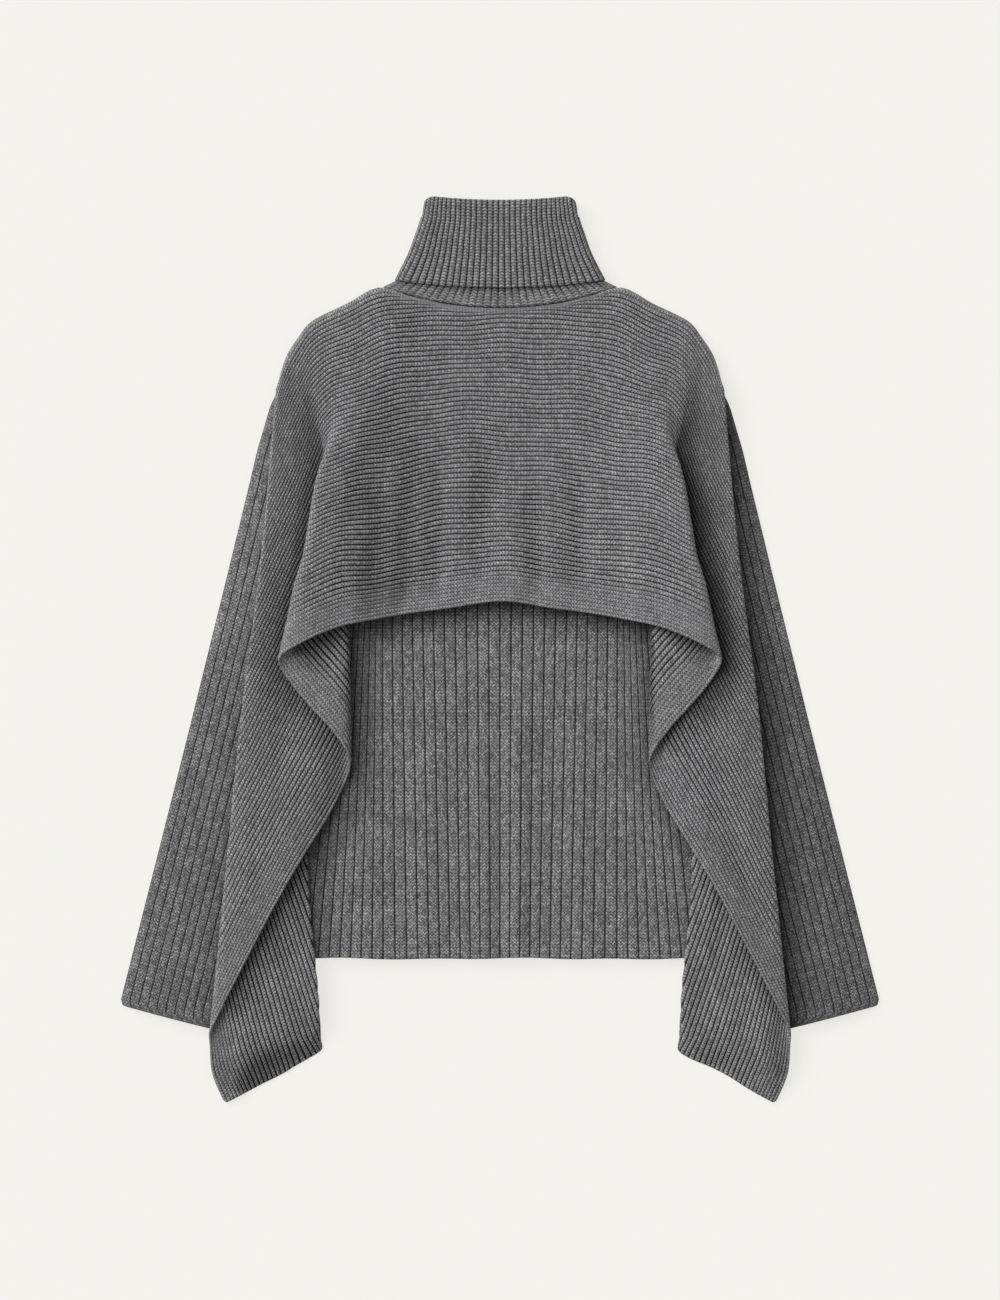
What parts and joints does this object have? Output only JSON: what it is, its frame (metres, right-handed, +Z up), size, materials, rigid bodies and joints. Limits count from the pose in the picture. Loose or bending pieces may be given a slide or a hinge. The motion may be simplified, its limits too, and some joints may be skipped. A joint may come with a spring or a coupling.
{
  "type": "turtleneck sweater",
  "caption": "Rib-knit turtleneck sweater laid flat, with a turned-down roll collar, long sleeves and a draped cape falling in zigzag folds.",
  "frame": {"origin": "on the surface the sweater lies on, under the middle of its outline", "axes": "+Y from the hem to the collar, +Z up off the surface, +X to the wearer's left sleeve, on the right as the laid sweater is seen"},
  "size_m": [0.6996, 0.8346, 0.0368],
  "materials": {
    "wide_rib_knit": "matt grey melange wide rib knit",
    "cape_rib_knit": "matt grey melange narrow rib knit",
    "collar_rib_knit": "matt grey melange close rib knit"
  },
  "bodies": {
    "root": {"body_front": "wide_rib_knit", "body_back": "wide_rib_knit", "sleeve_left": "wide_rib_knit", "sleeve_right": "wide_rib_knit", "collar": "collar_rib_knit", "cape": "cape_rib_knit"}
  },
  "joints": []
}
